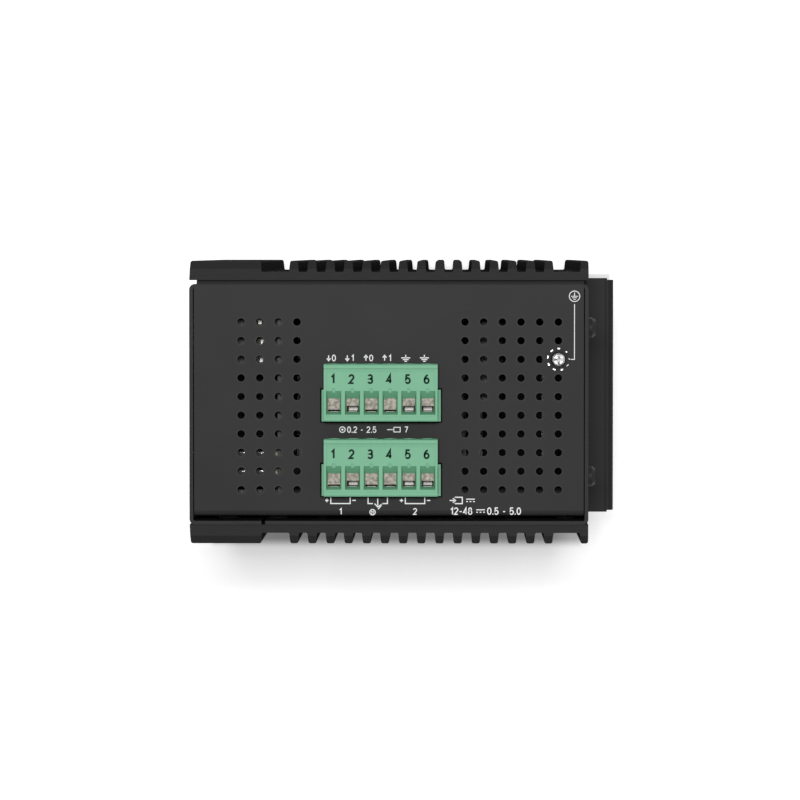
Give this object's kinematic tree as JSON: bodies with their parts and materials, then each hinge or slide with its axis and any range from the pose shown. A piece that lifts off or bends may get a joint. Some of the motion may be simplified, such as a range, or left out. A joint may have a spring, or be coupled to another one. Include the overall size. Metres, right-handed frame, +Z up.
{
  "type": "din rail ethernet switch",
  "caption": "Industrial Ethernet switch in a folded black case with finned side panels, green pluggable screw terminals on top and a sprung DIN rail latch behind.",
  "frame": {"origin": "middle of the overall footprint (case and rail bracket), on the flat bottom end that it stands on", "axes": "+Z up to the terminal end, -Y to the front with the ports, +Y to the rail side, +X to the right seen from the front"},
  "size_m": [0.076, 0.116, 0.16],
  "materials": {
    "case_paint": "fine matt black powder paint on steel sheet",
    "bracket_paint": "matt black powder paint on steel",
    "panel_black": "black anodised cast aluminium, satin",
    "zinc_sheet": "zinc-plated sheet steel",
    "zinc_cast": "zinc die casting, satin",
    "zinc_steel": "zinc-plated steel",
    "black_screw": "black zinc-plated steel",
    "nickel": "nickel-plated",
    "spring_steel": "drawn spring wire",
    "board_green": "solder mask over glass fibre",
    "jack_shield": "tinned shield sheet",
    "cage_steel": "nickel-plated cage sheet",
    "black_plastic": "black glass-filled plastic",
    "clear_plastic": "clear light pipe plastic",
    "lamp_body": "lamp body",
    "button_plastic": "dark grey plastic",
    "chip_black": "moulded package",
    "thermal_pad": "soft grey-blue pad",
    "bare_aluminium": "milled aluminium",
    "can_sleeve": "aluminium can with sleeve",
    "ferrite": "ferrite and winding tape",
    "tin": "tinned copper alloy",
    "terminal_green": "moulded green polyamide"
  },
  "bodies": {
    "case": {"board_links": "black_plastic", "board_screws": "zinc_steel", "board_standoffs": "zinc_steel", "bracket_screws": "black_screw", "capacitors": "can_sleeve", "case_screws": "black_screw", "chassis": "case_paint", "choke": "ferrite", "clamp_cages_1": "nickel", "clamp_cages_2": "nickel", "clamp_screws_1": "nickel", "clamp_screws_2": "nickel", "clinch_nuts": "zinc_steel", "console_jack": "jack_shield", "cover": "case_paint", "din_bracket": "bracket_paint", "earth_screw": "nickel", "front_panel": "case_paint", "guide_rivets": "zinc_steel", "header_pins": "tin", "heat_block": "bare_aluminium", "heatsink_left": "panel_black", "heatsink_right": "panel_black", "indicator_lamps": "lamp_body", "jack_inserts": "black_plastic", "latch_guide": "zinc_sheet", "latch_spring": "spring_steel", "light_pipes": "clear_plastic", "main_board": "board_green", "module_cage_1": "cage_steel", "module_cage_2": "cage_steel", "module_sockets": "black_plastic", "panel_screws": "black_screw", "pipe_holder": "black_plastic", "plug_contacts_1": "tin", "plug_contacts_2": "tin", "port_board": "board_green", "port_jack_1": "jack_shield", "port_jack_2": "jack_shield", "port_jack_3": "jack_shield", "port_jack_4": "jack_shield", "port_jack_5": "jack_shield", "port_jack_6": "jack_shield", "port_jack_7": "jack_shield", "port_jack_8": "jack_shield", "power_board": "board_green", "power_devices": "chip_black", "reset_switch": "black_plastic", "star_washer": "nickel", "switch_chip": "chip_black", "terminal_board": "board_green", "terminal_header_1": "terminal_green", "terminal_header_2": "terminal_green", "terminal_plug_1": "terminal_green", "terminal_plug_2": "terminal_green", "thermal_pads": "thermal_pad", "transformer": "ferrite"},
    "latch": {"din_latch": "zinc_cast"},
    "reset": {"reset_button": "button_plastic", "reset_plunger": "button_plastic"}
  },
  "joints": [
    {"name": "latch_slide", "type": "slide", "parent": "case", "child": "latch", "axis": [0, 0, -1], "range_m": [0, 0.0045], "stiffness_N_per_m": 1500, "springref_m": -0.002, "deforming": ["latch_spring"]},
    {"name": "reset_press", "type": "slide", "parent": "case", "child": "reset", "axis": [0, 1, 0], "range_m": [0, 0.0003], "stiffness_N_per_m": 1500, "springref_m": -0.0001}
  ]
}
